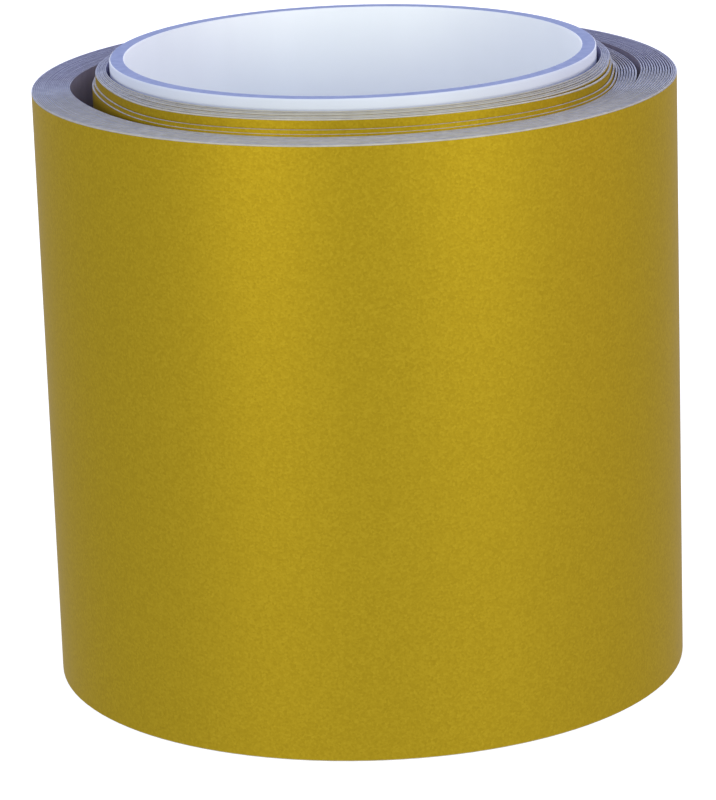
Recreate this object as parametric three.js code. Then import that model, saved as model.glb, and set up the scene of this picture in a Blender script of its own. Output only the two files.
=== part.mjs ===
// A roll of sign vinyl standing on end. A long web is wound round a plastic core: self-adhesive
// film, gold side out, on its paper release liner. Some wraps have slid along the core and a few
// have worked loose, as they do on a roll in use. The web's end is held by a strip of tape.
// Millimetres, +Z up along the core's axis, origin at the centre of the ring it stands on.
import * as THREE from "three";

const { clamp, degToRad, euclideanModulo, lerp, smoothstep } = THREE.MathUtils;

// Core
const CORE_BORE_RADIUS = 38.1; // for a 3 inch spindle
const CORE_RADIUS = 40.6;
const CORE_LENGTH = 106.2;
const CORE_EDGE_RADIUS = 0.6;
const CORE_EDGE_STEPS = 3;
const CORE_SIDES = 48;

// Web
const WEB_WIDTH = 101.6; // 4 inches
const ROLL_RADIUS = 54;
const FIRST_WRAP_RADIUS = 41.1; // clears the core and the tape that holds the first wrap
const FILM_THICKNESS = 0.16; // face film with its coat of adhesive
const LINER_THICKNESS = 0.11;
const FILM_INSET = 0.17; // the film has shrunk back this far from each edge of its liner

// Every wrap bends on the same rays, the stations, so that no wrap can cut through the next.
// Station 0 is the start of the web, and the stations go counter-clockwise and outwards.
const STATIONS_PER_TURN = 24;
const START_DEGREES = 60;
const STATION_DEGREES = 360 / STATIONS_PER_TURN;
const GRIP_END = 6 * STATIONS_PER_TURN; // the wraps that have stayed up with the core
const INNER_END = 8 * STATIONS_PER_TURN;
const MID_END = INNER_END + 7 * STATIONS_PER_TURN + 2;
const OUTER_END = MID_END + 14 * STATIONS_PER_TURN - 4;
const TAIL_PANELS = 6;
const WEB_END = OUTER_END + TAIL_PANELS;
const TIGHT_FROM = WEB_END - 2 * STATIONS_PER_TURN; // the last wraps, which hold the roll together
const CUT_SHARE = 0.012; // of a station, taken off each side of a cut: 0.15 mm

// Slack in the wraps. Its sum is the same all round, so the outside stays circular. What the two
// gaps leave of it is shared: at the front by the gripping wraps, elsewhere by all those after them.
const SLACK = 3.8;
const CRESCENT = { from: 105, peak: 178, to: 240, depth: SLACK }; // opens outside the inner wraps
const GROOVE = { from: -20, peak: 17, to: 75, depth: 1.3 }; // opens outside the middle wraps
const FRONT = { from: 0.1, to: 0.8 }; // how far to the front of the axis, in radii
const FIRST_DEGREES = -90; // angles are taken from here to one turn later

// Height of the liner's lower edge in each turn. The gripping wraps have stayed up with the core,
// two more step down from them, and the last height is that of all the wraps after it.
const LIFTS = [2.95, 2.88, 2.81, 2.74, 2.67, 2.6, 1.05, 0.35, 0];
const LIFT_CHANGE = 0.35; // of a turn, at its end, over which the web goes to the next height

// Tapes
const TAPE_THICKNESS = 0.1;
const TAPE_CLEARANCE = 0.02;
const CLOSING_TAPE_WIDTH = 19;
const START_TAPE_WIDTH = 90;
const START_TAPE_RADIUS = 41.07;

const LAYERS = WEB_END / STATIONS_PER_TURN + 1; // wraps on the ray of the web's end
const WRAP_PITCH = (ROLL_RADIUS - FIRST_WRAP_RADIUS - SLACK) / LAYERS;
const AIR = (WRAP_PITCH - FILM_THICKNESS - LINER_THICKNESS) / 2; // between one layer and the next

const FINISHES = {
  core: { color: 0xdce5ee, roughness: 0.45, metalness: 0 },
  film: { color: 0xb59a24, roughness: 0.38, metalness: 0.55 },
  liner: { color: 0xdad6c6, roughness: 0.75, metalness: 0 },
  tape: { color: 0xe6e0c8, roughness: 0.3, metalness: 0 },
};

// How far a gap between wraps is open at an angle: 0 outside its ends, and its depth at its peak.
function opening(degrees, gap) {
  const rise = smoothstep(degrees, gap.from, gap.peak);
  const fall = smoothstep(degrees, gap.peak, gap.to);
  return gap.depth * (rise - fall);
}

// The angle of a station, in the turn that begins at the front.
function degreesAt(station) {
  const turned = START_DEGREES + STATION_DEGREES * station - FIRST_DEGREES;
  return FIRST_DEGREES + euclideanModulo(turned, 360);
}

// The share of the slack that lies inside a station.
function slackInside(station) {
  const toFront = -Math.sin(degToRad(degreesAt(station)));
  const front = smoothstep(toFront, FRONT.from, FRONT.to);
  const gripping = clamp((station + STATIONS_PER_TURN) / (GRIP_END + STATIONS_PER_TURN), 0, 1);
  const others = clamp((station - GRIP_END) / (TIGHT_FROM - GRIP_END), 0, 1);
  return lerp(others, gripping, front);
}

// The radius of the outer face of the film on one ray.
function filmRadius(station) {
  const crescent = opening(degreesAt(station), CRESCENT);
  const groove = opening(degreesAt(station), GROOVE);
  let radius = FIRST_WRAP_RADIUS + (WRAP_PITCH * station) / STATIONS_PER_TURN;
  radius += (SLACK - crescent - groove) * slackInside(station);
  if (station > INNER_END) radius += crescent;
  if (station > MID_END) radius += groove;
  return radius + WRAP_PITCH;
}

const linerRadius = (station) => filmRadius(station) - FILM_THICKNESS - AIR;

function lift(station) {
  const turns = station / STATIONS_PER_TURN;
  const turn = Math.floor(turns);
  const [here, next] = [turn, turn + 1].map((n) => LIFTS[Math.min(n, LIFTS.length - 1)]);
  return lerp(here, next, smoothstep(turns - turn, 1 - LIFT_CHANGE, 1));
}

// A point of a strip: on the ray of a whole station, and on the straight between two rays.
function woundPoint(station, outerRadius, depth) {
  const before = Math.floor(station);
  const [a, b] = [before, before + 1].map((whole) => {
    const angle = degToRad(START_DEGREES + STATION_DEGREES * whole);
    const radius = outerRadius(whole) - depth;
    return new THREE.Vector2(Math.cos(angle), Math.sin(angle)).multiplyScalar(radius);
  });
  return a.lerp(b, station - before);
}

// A strip wound from one station to another. It starts as a flat bar, one unit long for each
// station, and its length is bent round the core. Depth is measured inwards from the outer face.
function woundStrip(first, last, { outerRadius, thickness, bottom, width, liftOf = () => 0 }) {
  const bar = new THREE.BoxGeometry(last - first, thickness, width, last - first);
  bar.translate((first + last) / 2, thickness / 2, bottom + width / 2);
  const points = bar.getAttribute("position");
  for (let i = 0; i < points.count; i++) {
    const whole = Math.round(points.getX(i));
    const station = clamp(whole, first + CUT_SHARE, last - CUT_SHARE);
    const point = woundPoint(station, outerRadius, points.getY(i));
    points.setXYZ(i, point.x, point.y, points.getZ(i) + liftOf(whole));
  }
  bar.computeVertexNormals();
  return bar;
}

function film(first, last) {
  return woundStrip(first, last, {
    outerRadius: filmRadius,
    thickness: FILM_THICKNESS,
    bottom: FILM_INSET,
    width: WEB_WIDTH - 2 * FILM_INSET,
    liftOf: lift,
  });
}

function liner(first, last) {
  return woundStrip(first, last, {
    outerRadius: linerRadius,
    thickness: LINER_THICKNESS,
    bottom: 0,
    width: WEB_WIDTH,
    liftOf: lift,
  });
}

// A tube with rounded rims, turned from a closed profile.
function core() {
  const profile = [];
  const corners = [
    { x: CORE_BORE_RADIUS + CORE_EDGE_RADIUS, y: CORE_EDGE_RADIUS, from: 180 },
    { x: CORE_RADIUS - CORE_EDGE_RADIUS, y: CORE_EDGE_RADIUS, from: 270 },
    { x: CORE_RADIUS - CORE_EDGE_RADIUS, y: CORE_LENGTH - CORE_EDGE_RADIUS, from: 0 },
    { x: CORE_BORE_RADIUS + CORE_EDGE_RADIUS, y: CORE_LENGTH - CORE_EDGE_RADIUS, from: 90 },
  ];
  for (const { x, y, from } of corners) {
    for (let step = 0; step <= CORE_EDGE_STEPS; step++) {
      const angle = degToRad(from + (90 * step) / CORE_EDGE_STEPS);
      const along = new THREE.Vector2(Math.cos(angle), Math.sin(angle));
      profile.push(along.multiplyScalar(CORE_EDGE_RADIUS).add(new THREE.Vector2(x, y)));
    }
  }
  profile.push(profile[0].clone());
  return new THREE.LatheGeometry(profile, CORE_SIDES).rotateX(Math.PI / 2);
}

// The tape that holds the first wrap to the core, under the start of the liner.
function startTape() {
  return woundStrip(0, 1, {
    outerRadius: () => START_TAPE_RADIUS,
    thickness: TAPE_THICKNESS,
    bottom: (CORE_LENGTH - START_TAPE_WIDTH) / 2,
    width: START_TAPE_WIDTH,
  });
}

// One half of the closing tape. It lies on the film's face, of the last wrap or the one below.
function closingTape(first, wrapsBelow) {
  const below = (station) => filmRadius(station - wrapsBelow * STATIONS_PER_TURN);
  return woundStrip(first, first + 1, {
    outerRadius: (station) => below(station) + TAPE_CLEARANCE + TAPE_THICKNESS,
    thickness: TAPE_THICKNESS,
    bottom: (WEB_WIDTH - CLOSING_TAPE_WIDTH) / 2,
    width: CLOSING_TAPE_WIDTH,
  });
}

function add(name, finish, geometry, parent) {
  const mesh = new THREE.Mesh(geometry, new THREE.MeshStandardMaterial(FINISHES[finish]));
  mesh.name = name;
  parent.add(mesh);
}

const innerRoll = new THREE.Group();
add("core", "core", core(), innerRoll);
add("start_tape", "tape", startTape(), innerRoll);
add("inner_film", "film", film(0, INNER_END), innerRoll);
add("inner_liner", "liner", liner(0, INNER_END), innerRoll);

const midWraps = new THREE.Group();
add("mid_film", "film", film(INNER_END, MID_END), midWraps);
add("mid_liner", "liner", liner(INNER_END, MID_END), midWraps);

const outerWraps = new THREE.Group();
add("outer_film", "film", film(MID_END, OUTER_END), outerWraps);
add("outer_liner", "liner", liner(MID_END, OUTER_END), outerWraps);

const tail = new THREE.Group();
for (let panel = 1; panel <= TAIL_PANELS; panel++) {
  const station = OUTER_END + panel - 1;
  add("tail_film_" + panel, "film", film(station, station + 1), tail);
  add("tail_liner_" + panel, "liner", liner(station, station + 1), tail);
}
add("closing_tape", "tape", closingTape(WEB_END - 1, 0), tail);
add("closing_tape_flap", "tape", closingTape(WEB_END, 1), tail);

const roll = new THREE.Group();
roll.add(innerRoll, midWraps, outerWraps, tail);

export default roll;
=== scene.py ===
"""Looks for a roll of sign vinyl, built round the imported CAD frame: Blender 4.5, metres, +Z up.

The web is modelled turn by turn: gold film with its adhesive, and the release liner inside it.
Its path is the CAD's: the same stations, slack and lift, on smooth curves in place of facets.
"""

import math
import random

import bmesh
import bpy
from mathutils import Matrix, Vector


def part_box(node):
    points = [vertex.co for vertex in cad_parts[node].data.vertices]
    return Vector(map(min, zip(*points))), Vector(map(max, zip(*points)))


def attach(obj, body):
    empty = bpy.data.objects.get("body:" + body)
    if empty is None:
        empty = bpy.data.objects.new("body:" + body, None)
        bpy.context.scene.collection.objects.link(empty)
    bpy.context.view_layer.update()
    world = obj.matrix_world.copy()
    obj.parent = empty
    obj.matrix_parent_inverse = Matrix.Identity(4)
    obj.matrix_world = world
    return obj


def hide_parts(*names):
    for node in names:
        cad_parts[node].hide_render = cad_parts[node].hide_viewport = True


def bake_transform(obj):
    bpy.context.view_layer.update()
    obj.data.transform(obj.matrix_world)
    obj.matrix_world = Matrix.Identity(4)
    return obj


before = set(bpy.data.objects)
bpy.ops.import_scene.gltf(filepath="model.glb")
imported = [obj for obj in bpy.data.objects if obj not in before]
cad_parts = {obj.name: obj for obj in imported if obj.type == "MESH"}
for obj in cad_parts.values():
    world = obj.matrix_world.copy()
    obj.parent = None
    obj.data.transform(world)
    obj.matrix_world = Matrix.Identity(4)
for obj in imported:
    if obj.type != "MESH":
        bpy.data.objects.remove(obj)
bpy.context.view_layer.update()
MM = 0.001

# ---- Sizes, from the frame where it holds them ----
_, CORE_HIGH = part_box("core")
WEB_LOW, WEB_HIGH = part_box("outer_liner")
CORE_RADIUS = CORE_HIGH.x
CORE_BORE_RADIUS = 38.1 * MM
CORE_TOP = CORE_HIGH.z
WEB_WIDTH = WEB_HIGH.z - WEB_LOW.z
ROLL_RADIUS = 54 * MM
FIRST_WRAP_RADIUS = 41.1 * MM
FILM_THICKNESS = 0.16 * MM
LINER_THICKNESS = 0.11 * MM
FILM_INSET = 0.17 * MM  # the film has shrunk back from each edge of its liner
FLUSH_SHARE = 0.85  # of the inset, missing at the top of the wraps that step down
FLUSH_FADE = 6  # stations over which the film becomes flush and set back again
CORE_EDGE = 0.3 * MM
CORE_EDGE_STEPS = 4
CORE_SIDES = 192
TAPE_THICKNESS = 0.06 * MM
TAPE_CLEARANCE = 0.02 * MM

# ---- The web's stations: 24 to a turn, counter-clockwise and outwards from the web's start ----
STATIONS_PER_TURN = 24
STATION = math.tau / STATIONS_PER_TURN
START_ANGLE = math.radians(60)
GRIP_END = 6 * STATIONS_PER_TURN
INNER_END = 8 * STATIONS_PER_TURN
MID_END = INNER_END + 7 * STATIONS_PER_TURN + 2
OUTER_END = MID_END + 14 * STATIONS_PER_TURN - 4
TAIL_PANELS = 6
WEB_END = OUTER_END + TAIL_PANELS
TIGHT_FROM = WEB_END - 2 * STATIONS_PER_TURN
STEPS_PER_STATION = 5
TRANSITION = 5  # stations over which the web crosses from one sliding body to the next

# ---- Slack between the wraps: its sum is the same all round. Gaps are given in degrees ----
SLACK = 3.8 * MM
CRESCENT = {"from": 105, "peak": 178, "to": 240, "depth": SLACK}
GROOVE = {"from": -20, "peak": 17, "to": 75, "depth": 1.3 * MM}
FRONT = {"from": 0.1, "to": 0.8}  # how far to the front of the axis, in radii
FIRST_DEGREES = -90

LAYERS = WEB_END / STATIONS_PER_TURN + 1
WRAP_PITCH = (ROLL_RADIUS - FIRST_WRAP_RADIUS - SLACK) / LAYERS
AIR = (WRAP_PITCH - FILM_THICKNESS - LINER_THICKNESS) / 2

# ---- Grain of the materials, in cells for each metre ----
FLAKE_GRAIN = 2600.0
SHEET_GRAIN = 500.0
EDGE_GRAIN = 700.0
CORE_GRAIN = 60.0
ALONG_CORE = (1, 1, 0.15)  # stretches the core's grain along its axis

SEED = 7
random.seed(SEED)


def smoothstep(x, low, high):
    """0 below the low value, 1 above the high one, and smooth between them."""
    t = min(max((x - low) / (high - low), 0.0), 1.0)
    return t * t * (3 - 2 * t)


# ---------------------------------------------------------------- path of the web
def opening(degrees, gap):
    """How far a gap between wraps is open at an angle."""
    rise = smoothstep(degrees, gap["from"], gap["peak"])
    fall = smoothstep(degrees, gap["peak"], gap["to"])
    return gap["depth"] * (rise - fall)


def degrees_at(station):
    """The angle of a station, in the turn that starts at the front of the roll."""
    turned = math.degrees(START_ANGLE + STATION * station) - FIRST_DEGREES
    return FIRST_DEGREES + turned % 360


def slack_inside(station):
    """The share of the slack that lies inside a station."""
    to_front = -math.sin(math.radians(degrees_at(station)))
    front = smoothstep(to_front, FRONT["from"], FRONT["to"])
    gripping = min((station + STATIONS_PER_TURN) / (GRIP_END + STATIONS_PER_TURN), 1)
    others = min(max((station - GRIP_END) / (TIGHT_FROM - GRIP_END), 0), 1)
    return gripping * front + others * (1 - front)


def film_radius(station):
    """The radius of the film's outer face."""
    crescent = opening(degrees_at(station), CRESCENT)
    groove = opening(degrees_at(station), GROOVE)
    radius = FIRST_WRAP_RADIUS + WRAP_PITCH * (station / STATIONS_PER_TURN + 1)
    radius += (SLACK - crescent - groove) * slack_inside(station)
    if station > INNER_END:
        radius += crescent
    if station > MID_END:
        radius += groove
    return radius


# Height of the liner's lower edge in each turn, from the core outwards, in mm. A small jitter is
# added to it, which fades out at the web's end.
LIFTS = [2.95, 2.88, 2.81, 2.74, 2.67, 2.6, 1.05, 0.35, 0.0]
LIFT_CHANGE = 0.35  # of a turn, at its end, over which the web goes to the next height
MAX_JITTER = 0.07  # mm
EDGE_JITTER = [random.uniform(0, MAX_JITTER) for _ in range(int(LAYERS) + 1)]
EDGE_JITTER[-2:] = [0.0, 0.0]


def height_of_turn(n):
    """The height of a turn with its jitter, in mm."""
    height = LIFTS[n] if n < len(LIFTS) else 0
    jitter = EDGE_JITTER[n] if n < len(EDGE_JITTER) else 0
    return height + jitter


def lift(station):
    """The height of the liner's lower edge."""
    turns = station / STATIONS_PER_TURN
    turn = int(turns)
    here, following = height_of_turn(turn), height_of_turn(turn + 1)
    change = smoothstep(turns - turn, 1 - LIFT_CHANGE, 1)
    return (here * (1 - change) + following * change) * MM


# ---------------------------------------------------------------- materials
def new_material(name):
    """A new material, its node tree and its shader."""
    material = bpy.data.materials.new(name)
    material.use_nodes = True
    tree = material.node_tree
    shader = tree.nodes["Principled BSDF"]
    return material, tree, shader


def node(tree, kind, **values):
    """A node, with values for its settings or its inputs."""
    made = tree.nodes.new(kind)
    for key, value in values.items():
        if hasattr(made, key):
            setattr(made, key, value)
        else:
            made.inputs[key].default_value = value
    return made


def ramp(tree, source, stops):
    """A colour ramp fed by a socket, with stops of (place, colour)."""
    made = tree.nodes.new("ShaderNodeValToRGB")
    elements = made.color_ramp.elements
    while len(elements) < len(stops):
        elements.new(0.5)
    for element, (place, colour) in zip(elements, stops):
        element.position = place
        element.color = (*colour, 1)
    tree.links.new(source, made.inputs["Fac"])
    return made


def gold_film():
    """Satin metallic face with fine flakes."""
    material, tree, shader = new_material("gold_film_face")
    place = tree.nodes.new("ShaderNodeTexCoord")
    flakes = node(tree, "ShaderNodeTexVoronoi", Scale=FLAKE_GRAIN)
    tree.links.new(place.outputs["Object"], flakes.inputs["Vector"])
    grain = node(tree, "ShaderNodeTexNoise", Scale=FLAKE_GRAIN, Detail=1.0)
    tree.links.new(place.outputs["Object"], grain.inputs["Vector"])
    total = node(tree, "ShaderNodeMath", operation="ADD")
    tree.links.new(flakes.outputs["Color"], total.inputs[0])
    tree.links.new(grain.outputs["Fac"], total.inputs[1])
    mean = node(tree, "ShaderNodeMath", operation="MULTIPLY")
    mean.inputs[1].default_value = 0.5
    tree.links.new(total.outputs[0], mean.inputs[0])
    colour = ramp(tree, mean.outputs[0], [
        (0.2, (0.425, 0.280, 0.010)),
        (0.5, (0.475, 0.317, 0.012)),
        (0.8, (0.53, 0.360, 0.016)),
    ])
    tree.links.new(colour.outputs["Color"], shader.inputs["Base Color"])
    bump = node(tree, "ShaderNodeBump", Strength=0.4, Distance=0.00002)
    tree.links.new(flakes.outputs["Distance"], bump.inputs["Height"])
    tree.links.new(bump.outputs["Normal"], shader.inputs["Normal"])
    shader.inputs["Metallic"].default_value = 0.5
    shader.inputs["Roughness"].default_value = 0.42
    shader.inputs["Specular IOR Level"].default_value = 0.1
    shader.inputs["Specular Tint"].default_value = (1.0, 0.8, 0.3, 1)
    return material


def speckled(name, low, high, scale, roughness, stretch=(1, 1, 1), specular=0.5):
    """A plain material with a soft bump, whose colour varies softly between two tones."""
    material, tree, shader = new_material(name)
    place = tree.nodes.new("ShaderNodeTexCoord")
    mapping = node(tree, "ShaderNodeMapping")
    mapping.inputs["Scale"].default_value = stretch
    tree.links.new(place.outputs["Object"], mapping.inputs["Vector"])
    noise = node(tree, "ShaderNodeTexNoise", Scale=scale, Detail=4.0)
    tree.links.new(mapping.outputs["Vector"], noise.inputs["Vector"])
    colour = ramp(tree, noise.outputs["Fac"], [(0.35, low), (0.65, high)])
    tree.links.new(colour.outputs["Color"], shader.inputs["Base Color"])
    bump = node(tree, "ShaderNodeBump", Strength=0.15, Distance=0.00003)
    tree.links.new(noise.outputs["Fac"], bump.inputs["Height"])
    tree.links.new(bump.outputs["Normal"], shader.inputs["Normal"])
    shader.inputs["Roughness"].default_value = roughness
    shader.inputs["Specular IOR Level"].default_value = specular
    return material


FILM_FACE = gold_film()
ADHESIVE = speckled("film_adhesive", (0.45, 0.46, 0.48), (0.50, 0.51, 0.53), SHEET_GRAIN, 0.25)
FILM_EDGE = speckled("film_cut_edge", (0.34, 0.37, 0.46), (0.54, 0.57, 0.66), EDGE_GRAIN, 0.6)
LINER_FACE = speckled("liner_release_face", (0.54, 0.50, 0.36), (0.62, 0.58, 0.43), SHEET_GRAIN, 0.4)
LINER_BACK = speckled("liner_paper_back", (0.30, 0.29, 0.46), (0.34, 0.33, 0.51), SHEET_GRAIN, 0.75)
LINER_EDGE = speckled("liner_cut_edge", (0.42, 0.44, 0.51), (0.64, 0.66, 0.73), EDGE_GRAIN, 0.7)
CORE_OUTSIDE = speckled(
    "core_outside", (0.74, 0.78, 0.81), (0.78, 0.82, 0.85), CORE_GRAIN, 0.5, ALONG_CORE, 0.25
)
# The bore's colour is painted light: the same white plastic as the outside, made brighter.
CORE_BORE_PAINTED_LIGHT = speckled(
    "core_bore_painted_light", (0.89, 0.915, 0.90), (0.92, 0.945, 0.93), CORE_GRAIN, 0.5, ALONG_CORE, 0.25
)
# The ends' colour is painted shade: the tube's own white plastic, made darker and bluer because the
# top gets less light.
CORE_END_PAINTED_SHADE = speckled(
    "core_end_painted_shade", (0.34, 0.40, 0.60), (0.40, 0.46, 0.65), EDGE_GRAIN, 0.7, specular=0.1
)
TAPE = speckled("clear_tape", (0.71, 0.68, 0.55), (0.76, 0.73, 0.60), EDGE_GRAIN, 0.22)


# ---------------------------------------------------------------- meshes
SHARP_ANGLE = math.radians(40)


def finished(name, mesh, materials):
    """An object of a mesh with smooth faces and its sharp corners kept."""
    for material in materials:
        mesh.materials.append(material)
    for face in mesh.polygons:
        face.use_smooth = True
    mesh.set_sharp_from_angle(angle=SHARP_ANGLE)
    piece = bpy.data.objects.new(name, mesh)
    bpy.context.scene.collection.objects.link(piece)
    return piece


def strip(name, first, last, outer_radius, thickness, bottom, top, materials):
    """A layer of web from one station to another. materials: outer face, inner face, edges."""
    steps = max(2, round((last - first) * STEPS_PER_STATION))
    points = []
    for step in range(steps + 1):
        station = first + (last - first) * step / steps
        angle = START_ANGLE + STATION * station
        outer = outer_radius(station)
        for radius, z in (
            (outer, bottom(station)),
            (outer, top(station)),
            (outer - thickness, top(station)),
            (outer - thickness, bottom(station)),
        ):
            points.append((radius * math.cos(angle), radius * math.sin(angle), z))
    faces = [(3, 2, 1, 0)]
    slots = [2]
    for step in range(steps):
        a, b = 4 * step, 4 * step + 4
        for side, slot in enumerate((0, 2, 1, 2)):
            after = (side + 1) % 4
            faces.append((a + side, a + after, b + after, b + side))
            slots.append(slot)
    end = 4 * steps
    faces.append((end, end + 1, end + 2, end + 3))
    slots.append(2)
    mesh = bpy.data.meshes.new(name)
    mesh.from_pydata(points, [], faces)
    mesh.polygons.foreach_set("material_index", slots)
    mesh.validate()
    made = bmesh.new()
    made.from_mesh(mesh)
    bmesh.ops.recalc_face_normals(made, faces=made.faces)
    made.to_mesh(mesh)
    made.free()
    return finished(name, mesh, materials)


def film_inset(station):
    """The film's top edge is nearly flush where the wraps step down, and set back elsewhere."""
    begun = smoothstep(station, GRIP_END - FLUSH_FADE, GRIP_END)
    not_over = 1 - smoothstep(station, INNER_END, INNER_END + FLUSH_FADE)
    return FILM_INSET * (1 - FLUSH_SHARE * (begun * not_over))


def film(name, first, last):
    """A length of film with its adhesive, set back from the liner's edges."""
    return strip(
        name, first, last, film_radius, FILM_THICKNESS,
        lambda s: lift(s) + FILM_INSET, lambda s: lift(s) + WEB_WIDTH - film_inset(s),
        [FILM_FACE, ADHESIVE, FILM_EDGE],
    )


def liner(name, first, last):
    """A length of release liner, inside the film."""
    return strip(
        name, first, last, lambda s: film_radius(s) - FILM_THICKNESS - AIR, LINER_THICKNESS,
        lift, lambda s: lift(s) + WEB_WIDTH, [LINER_FACE, LINER_BACK, LINER_EDGE],
    )


def on_web(station):
    """A point on the film's face, at a station."""
    angle = START_ANGLE + STATION * station
    radius = film_radius(station)
    return Vector((radius * math.cos(angle), radius * math.sin(angle), WEB_WIDTH / 2))


def lathe(name, profile, sides, materials):
    """A closed ring turned from a closed profile of (radius, height)."""
    made = bmesh.new()
    rings = []
    for side in range(sides):
        angle = math.tau * side / sides
        rings.append([
            made.verts.new((r * math.cos(angle), r * math.sin(angle), z)) for r, z in profile
        ])
    for side in range(sides):
        ring, following = rings[side], rings[(side + 1) % sides]
        for i in range(len(profile)):
            j = (i + 1) % len(profile)
            made.faces.new((ring[i], following[i], following[j], ring[j]))
    bmesh.ops.recalc_face_normals(made, faces=made.faces)
    mesh = bpy.data.meshes.new(name)
    made.to_mesh(mesh)
    made.free()
    return finished(name, mesh, materials)


# ---------------------------------------------------------------- pieces
def add_core():
    """The tube, with rounded rims, a bore and two cut ends; the ends are coloured with painted shade
    and the bore with painted light.
    """
    corners = [
        (CORE_BORE_RADIUS + CORE_EDGE, CORE_EDGE, 180),
        (CORE_RADIUS - CORE_EDGE, CORE_EDGE, 270),
        (CORE_RADIUS - CORE_EDGE, CORE_TOP - CORE_EDGE, 0),
        (CORE_BORE_RADIUS + CORE_EDGE, CORE_TOP - CORE_EDGE, 90),
    ]
    profile = []
    for radius, z, start in corners:
        for step in range(CORE_EDGE_STEPS + 1):
            angle = math.radians(start + 90 * step / CORE_EDGE_STEPS)
            profile.append((radius + CORE_EDGE * math.cos(angle), z + CORE_EDGE * math.sin(angle)))
    core = lathe("core_tube", profile, CORE_SIDES, [CORE_OUTSIDE, CORE_BORE_PAINTED_LIGHT, CORE_END_PAINTED_SHADE])
    nearly_level = 0.9
    for face in core.data.polygons:
        # Level faces are the two ends, which take the darker painted-shade colour.
        if abs(face.normal.z) > nearly_level:
            face.material_index = 2
        # Faces inside the bore take the brighter painted-light colour.
        elif math.hypot(*face.center.xy) < CORE_BORE_RADIUS + CORE_EDGE:
            face.material_index = 1
    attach(core, "inner_roll")
    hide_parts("core")


def add_layers(make, layer):
    """The wraps of the film or the liner, and the crossings between bodies that slide."""

    def keep(piece, *nodes):
        if nodes:
            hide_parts(*nodes)

    inner = make(f"{layer}_inner_wraps", 0, INNER_END - TRANSITION)
    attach(inner, "inner_roll")
    keep(inner, f"inner_{layer}")
    crossing = make(f"{layer}_inner_crossing", INNER_END - TRANSITION, INNER_END)
    on_web(INNER_END - TRANSITION)
    on_web(INNER_END)
    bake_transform(crossing)
    keep(crossing)
    mid = make(f"{layer}_middle_wraps", INNER_END, MID_END - TRANSITION)
    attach(mid, "mid_wraps")
    keep(mid, f"mid_{layer}")
    crossing = make(f"{layer}_outer_crossing", MID_END - TRANSITION, MID_END)
    on_web(MID_END - TRANSITION)
    on_web(MID_END)
    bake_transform(crossing)
    keep(crossing)
    outer = make(f"{layer}_outer_wraps", MID_END, OUTER_END - 0.5)
    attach(outer, "outer_wraps")
    keep(outer, f"outer_{layer}")


add_core()
add_layers(film, "film")
add_layers(liner, "liner")


# ---------------------------------------------------------------- tail
PEEL_BEND = 0.35  # of a station past the last bend, where a point on the film's face is found


def add_tail():
    """The web past the last whole wrap: one piece round each bend, and the film's free end."""
    bends = [OUTER_END + k for k in range(TAIL_PANELS)]
    for make, layer in ((film, "film"), (liner, "liner")):
        for k, bend in enumerate(bends):
            first = bend - 0.5
            last = turned = bend + 0.5
            if k == TAIL_PANELS - 1:
                turned = bend
                last = bend if layer == "film" else WEB_END
            piece = make(f"{layer}_tail_{k + 1}", first, last)
            on_web(first)
            on_web(turned)
            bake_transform(piece)
            if layer == "liner" or k < TAIL_PANELS - 1:
                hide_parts(f"tail_{layer}_{k + 1}")
    free = film("film_tail_end", bends[-1], WEB_END)
    on_web(bends[-1])
    on_web(bends[-1] + PEEL_BEND)
    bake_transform(free)
    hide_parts(f"tail_film_{TAIL_PANELS}")


add_tail()


TAPE_STEP = 0.06  # of a station, over which the closing tape steps down to the wrap below
TAPE_BEND = {"from": WEB_END - 0.05, "to": WEB_END + 0.12}


def add_tapes():
    """The closing tape, over the web's end, and the looks of the start tape."""
    low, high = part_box("closing_tape")

    def radius(station):
        on_top = film_radius(min(station, WEB_END))
        below = film_radius(station - STATIONS_PER_TURN)
        down = smoothstep(station, WEB_END, WEB_END + TAPE_STEP)
        return on_top * (1 - down) + below * down + TAPE_CLEARANCE + TAPE_THICKNESS

    tape = strip(
        "closing_tape_strip", WEB_END - 1, WEB_END + 1, radius, TAPE_THICKNESS,
        lambda s: low.z, lambda s: high.z, [TAPE, TAPE, TAPE],
    )
    on_web(TAPE_BEND["from"])
    on_web(TAPE_BEND["to"])
    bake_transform(tape)
    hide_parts("closing_tape", "closing_tape_flap")
    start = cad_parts["start_tape"]
    start.data.materials.clear()
    start.data.materials.append(TAPE)


add_tapes()


# ---------------------------------------------------------------- stage, light and camera
LIGHT_TARGET = (0, 0, 0.05)
WORLD_COLOUR = (0.6, 0.66, 1, 1)
WORLD_STRENGTH = 0.8
FLOOR_HALF = 6.0
CAMERA_DISTANCE = 684.9 * MM
CAMERA_ELEVATION = math.radians(16.074)
CAMERA_ROLL = math.radians(1.908)
CAMERA_AIM = Vector((-1.05 * MM, 0, 45.2 * MM))
CAMERA_LENS = 180.2
SENSOR_WIDTH = 36


def add_floor():
    """A white floor that doesn't tint the roll."""
    mesh = bpy.data.meshes.new("floor")
    corners = [(x * FLOOR_HALF, y * FLOOR_HALF, 0) for x, y in ((-1, -1), (1, -1), (1, 1), (-1, 1))]
    mesh.from_pydata(corners, [], [(0, 1, 2, 3)])
    material, _, shader = new_material("floor_white")
    shader.inputs["Base Color"].default_value = (0.5, 0.5, 0.5, 1)
    shader.inputs["Roughness"].default_value = 0.9
    shader.inputs["Emission Color"].default_value = (1, 1, 1, 1)
    shader.inputs["Emission Strength"].default_value = 0.8
    mesh.materials.append(material)
    floor = bpy.data.objects.new("floor", mesh)
    floor.visible_diffuse = False
    floor.visible_glossy = False
    bpy.context.scene.collection.objects.link(floor)


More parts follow.
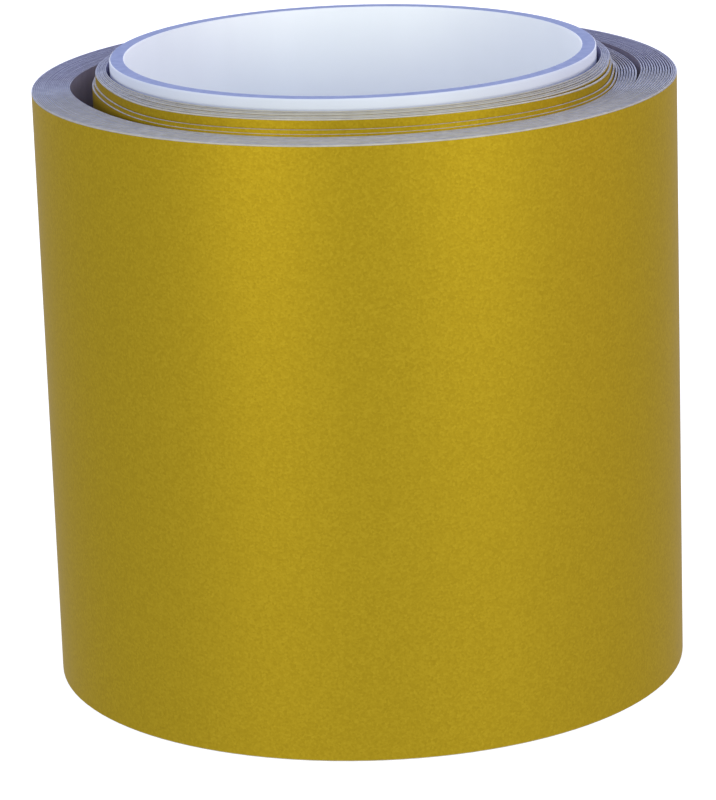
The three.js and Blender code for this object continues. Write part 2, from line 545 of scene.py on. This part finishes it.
def add_light(name, place, size, watts, colour):
    """A rectangular softbox aimed at the roll."""
    lamp = bpy.data.lights.new(name, "AREA")
    lamp.shape = "RECTANGLE"
    lamp.size, lamp.size_y = size
    lamp.energy = watts
    lamp.color = colour
    holder = bpy.data.objects.new(name, lamp)
    holder.location = place
    holder.rotation_euler = (Vector(LIGHT_TARGET) - Vector(place)).to_track_quat("-Z", "Y").to_euler()
    bpy.context.scene.collection.objects.link(holder)


def add_world():
    """Even, bluish light from all round."""
    world = bpy.data.worlds.new("studio")
    world.use_nodes = True
    background = world.node_tree.nodes["Background"]
    background.inputs["Color"].default_value = WORLD_COLOUR
    background.inputs["Strength"].default_value = WORLD_STRENGTH
    bpy.context.scene.world = world


def add_camera():
    """A long lens in front of the roll, a little above it and slightly rolled."""
    back = Vector((0, -math.cos(CAMERA_ELEVATION), math.sin(CAMERA_ELEVATION)))
    data = bpy.data.cameras.new("camera")
    data.sensor_width = SENSOR_WIDTH
    data.lens = CAMERA_LENS
    camera = bpy.data.objects.new("camera", data)
    turn = (-back).to_track_quat("-Z", "Y").to_matrix().to_4x4()
    place = Matrix.Translation(CAMERA_AIM + back * CAMERA_DISTANCE)
    camera.matrix_world = place @ turn @ Matrix.Rotation(-CAMERA_ROLL, 4, "Z")
    bpy.context.scene.collection.objects.link(camera)
    bpy.context.scene.camera = camera


add_floor()
add_light("left_softbox", (-0.85, -1.3, 0.35), (0.7, 0.6), 8.5, (1, 0.98, 0.7))
add_light("right_softbox", (0.95, -1.15, 0.35), (0.9, 0.6), 8.5, (0.98, 1, 0.78))
add_light("warm_side", (1.5, -0.1, 0.3), (0.6, 0.6), 1.8, (1, 0.42, 0.42))
add_light("back_left", (-0.55, 1.5, 0.4), (0.9, 0.6), 5, (1, 0.97, 0.9))
add_light("back_right", (0.55, 1.5, 0.4), (0.9, 0.6), 5, (1, 0.97, 0.9))
add_world()
add_camera()

bpy.context.scene.view_settings.view_transform = "Standard"
bpy.context.view_layer.update()
